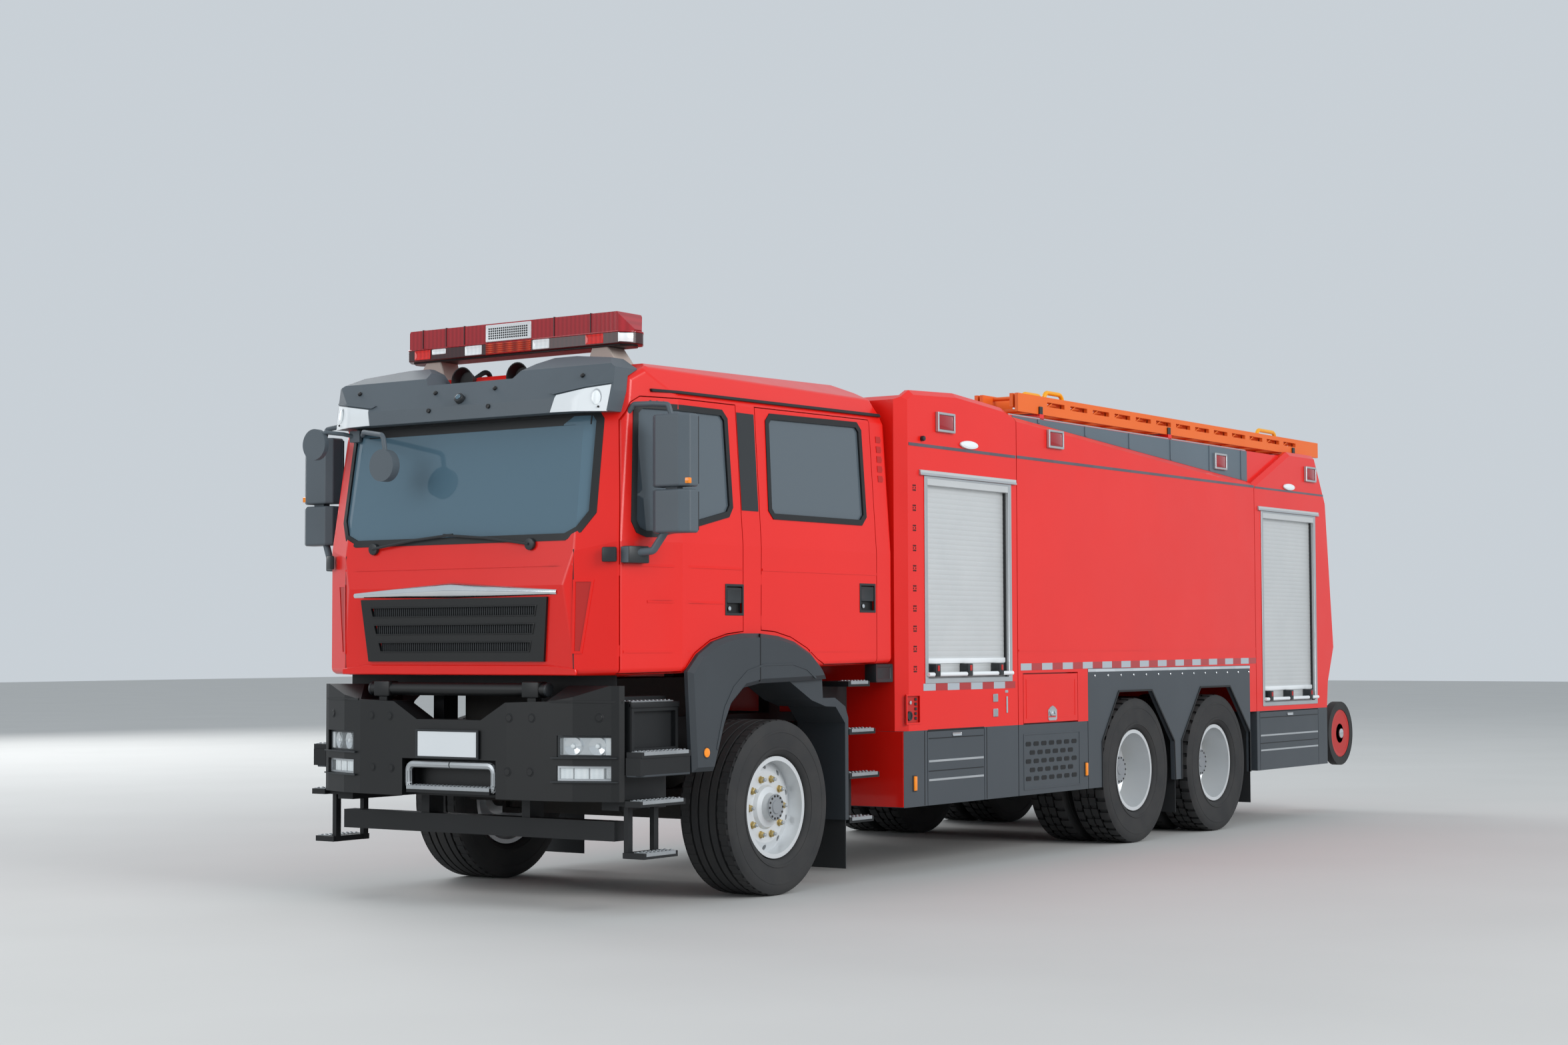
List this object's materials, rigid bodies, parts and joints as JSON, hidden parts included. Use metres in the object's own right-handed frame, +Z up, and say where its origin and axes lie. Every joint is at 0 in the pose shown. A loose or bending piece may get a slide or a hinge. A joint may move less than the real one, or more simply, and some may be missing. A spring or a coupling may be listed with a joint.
{
  "type": "foam fire truck",
  "caption": "Heavy foam fire truck with a crew cab, closed body with roller shutters, roof ladder, roof monitor and a hose cart at the rear.",
  "frame": {"origin": "on the ground at the middle of the overall length and width", "axes": "+X forwards, +Y to the truck's left, +Z up; the wheels stand on z = 0"},
  "size_m": [10.5349, 2.93, 3.43],
  "materials": {
    "red_paint": "gloss",
    "grey_paint": "satin",
    "black_paint": "satin",
    "black_plastic": "matt",
    "cab_trim": "matt",
    "seat_cloth": "woven",
    "window_glass": "clear",
    "lamp_glass": "clear",
    "red_lens": "gloss",
    "tyre": "matt",
    "flare_plastic": "matt",
    "orange_paint": "gloss",
    "flap_rubber": "matt",
    "wheel_silver": "satin",
    "shutter_aluminium": "satin",
    "yellow_paint": "gloss",
    "cast_steel": "matt",
    "spring_steel": "satin"
  },
  "bodies": {
    "chassis": {"axles": "cast_steel", "body_front": "red_paint", "body_middle": "red_paint", "body_rear": "red_paint", "cab_seats": "seat_cloth", "cab_shell": "red_paint", "cab_steps": "black_paint", "cart_frame": "black_paint", "chassis_frame": "black_paint", "dashboard": "cab_trim", "engine_block": "cast_steel", "frame_fittings": "black_paint", "front_bumper": "black_plastic", "front_fenders": "flare_plastic", "front_grille": "black_plastic", "grab_rails": "yellow_paint", "headlamps": "lamp_glass", "kerb_mirror": "black_plastic", "leaf_springs": "spring_steel", "light_bar": "red_lens", "lower_panels": "grey_paint", "mud_flaps": "flap_rubber", "roller_shutters": "shutter_aluminium", "roof_ladder": "orange_paint", "sun_visor": "black_plastic", "windscreen": "window_glass"},
    "knuckle_left": {"knuckle_left": "cast_steel"},
    "knuckle_right": {"knuckle_right": "cast_steel"},
    "front_wheel_left": {"front_tyre_left": "tyre", "front_wheel_left": "wheel_silver"},
    "rear_wheel_1_left": {"rear_tyres_1_left": "tyre", "rear_wheel_1_left": "wheel_silver"},
    "rear_wheel_2_left": {"rear_tyres_2_left": "tyre", "rear_wheel_2_left": "wheel_silver"},
    "front_door_left": {"front_door_left": "red_paint", "front_door_glass_left": "window_glass", "mirror_left": "black_plastic"},
    "rear_door_left": {"rear_door_left": "red_paint", "rear_door_glass_left": "window_glass"},
    "box_door_left": {"box_door_left": "red_paint"},
    "fold_step_front_left": {"fold_step_front_left": "grey_paint"},
    "fold_step_rear_left": {"fold_step_rear_left": "grey_paint"},
    "front_wheel_right": {"front_tyre_right": "tyre", "front_wheel_right": "wheel_silver"},
    "rear_wheel_1_right": {"rear_tyres_1_right": "tyre", "rear_wheel_1_right": "wheel_silver"},
    "rear_wheel_2_right": {"rear_tyres_2_right": "tyre", "rear_wheel_2_right": "wheel_silver"},
    "front_door_right": {"front_door_right": "red_paint", "front_door_glass_right": "window_glass", "mirror_right": "black_plastic"},
    "rear_door_right": {"rear_door_right": "red_paint", "rear_door_glass_right": "window_glass"},
    "box_door_right": {"box_door_right": "red_paint"},
    "fold_step_front_right": {"fold_step_front_right": "grey_paint"},
    "fold_step_rear_right": {"fold_step_rear_right": "grey_paint"},
    "monitor_turret": {"monitor_turret": "red_paint"},
    "monitor_barrel": {"monitor_barrel": "red_paint"},
    "cart_reel": {"cart_reel": "red_paint", "cart_tyres": "tyre"}
  },
  "joints": [
    {"name": "steer_left", "type": "hinge", "parent": "chassis", "child": "knuckle_left", "pos_m": [3.6075, 0.8, 0.512], "axis": [0, 0, 1], "range_deg": [-35, 35]},
    {"name": "front_roll_left", "type": "hinge", "parent": "knuckle_left", "child": "front_wheel_left", "pos_m": [3.6075, 1.03, 0.512], "axis": [0, 1, 0], "continuous": true},
    {"name": "rear_roll_1_left", "type": "hinge", "parent": "chassis", "child": "rear_wheel_1_left", "pos_m": [-0.9925, 0.91, 0.532], "axis": [0, 1, 0], "continuous": true},
    {"name": "rear_roll_2_left", "type": "hinge", "parent": "chassis", "child": "rear_wheel_2_left", "pos_m": [-2.3925, 0.91, 0.532], "axis": [0, 1, 0], "continuous": true},
    {"name": "front_door_left_hinge", "type": "hinge", "parent": "chassis", "child": "front_door_left", "pos_m": [4.957, 1.084, 1.87], "axis": [0, 0, -1], "range_deg": [0, 70]},
    {"name": "rear_door_left_hinge", "type": "hinge", "parent": "chassis", "child": "rear_door_left", "pos_m": [3.7755, 1.197, 1.84], "axis": [0, 0, -1], "range_deg": [0, 70]},
    {"name": "box_door_left_hinge", "type": "hinge", "parent": "chassis", "child": "box_door_left", "pos_m": [0.362, 1.242, 1.248], "axis": [1, 0, 0], "range_deg": [0, 90]},
    {"name": "fold_step_front_left_hinge", "type": "hinge", "parent": "chassis", "child": "fold_step_front_left", "pos_m": [1.65, 1.242, 0.444], "axis": [-1, 0, 0], "range_deg": [0, 90]},
    {"name": "fold_step_rear_left_hinge", "type": "hinge", "parent": "chassis", "child": "fold_step_rear_left", "pos_m": [-3.775, 1.242, 0.444], "axis": [-1, 0, 0], "range_deg": [0, 90]},
    {"name": "steer_right", "type": "hinge", "parent": "chassis", "child": "knuckle_right", "pos_m": [3.6075, -0.8, 0.512], "axis": [0, 0, 1], "range_deg": [-35, 35]},
    {"name": "front_roll_right", "type": "hinge", "parent": "knuckle_right", "child": "front_wheel_right", "pos_m": [3.6075, -1.03, 0.512], "axis": [0, 1, 0], "continuous": true},
    {"name": "rear_roll_1_right", "type": "hinge", "parent": "chassis", "child": "rear_wheel_1_right", "pos_m": [-0.9925, -0.91, 0.532], "axis": [0, 1, 0], "continuous": true},
    {"name": "rear_roll_2_right", "type": "hinge", "parent": "chassis", "child": "rear_wheel_2_right", "pos_m": [-2.3925, -0.91, 0.532], "axis": [0, 1, 0], "continuous": true},
    {"name": "front_door_right_hinge", "type": "hinge", "parent": "chassis", "child": "front_door_right", "pos_m": [4.957, -1.084, 1.87], "axis": [0, 0, 1], "range_deg": [0, 70]},
    {"name": "rear_door_right_hinge", "type": "hinge", "parent": "chassis", "child": "rear_door_right", "pos_m": [3.7755, -1.197, 1.84], "axis": [0, 0, 1], "range_deg": [0, 70]},
    {"name": "box_door_right_hinge", "type": "hinge", "parent": "chassis", "child": "box_door_right", "pos_m": [0.362, -1.242, 1.248], "axis": [-1, 0, 0], "range_deg": [0, 90]},
    {"name": "fold_step_front_right_hinge", "type": "hinge", "parent": "chassis", "child": "fold_step_front_right", "pos_m": [1.65, -1.242, 0.444], "axis": [1, 0, 0], "range_deg": [0, 90]},
    {"name": "fold_step_rear_right_hinge", "type": "hinge", "parent": "chassis", "child": "fold_step_rear_right", "pos_m": [-3.775, -1.242, 0.444], "axis": [1, 0, 0], "range_deg": [0, 90]},
    {"name": "monitor_turn", "type": "hinge", "parent": "chassis", "child": "monitor_turret", "pos_m": [-3.3425, 0, 3.2], "axis": [0, 0, 1], "range_deg": [-170, 170]},
    {"name": "monitor_lift", "type": "hinge", "parent": "monitor_turret", "child": "monitor_barrel", "pos_m": [-3.3425, 0, 3.36], "axis": [0, 1, 0], "range_deg": [-10, 75]},
    {"name": "cart_roll", "type": "hinge", "parent": "chassis", "child": "cart_reel", "pos_m": [-4.9925, 0.715, 0.68], "axis": [0, 1, 0], "continuous": true}
  ],
  "couplings": [
    {"joint": "steer_right", "follows": "steer_left", "ratio": 1}
  ]
}
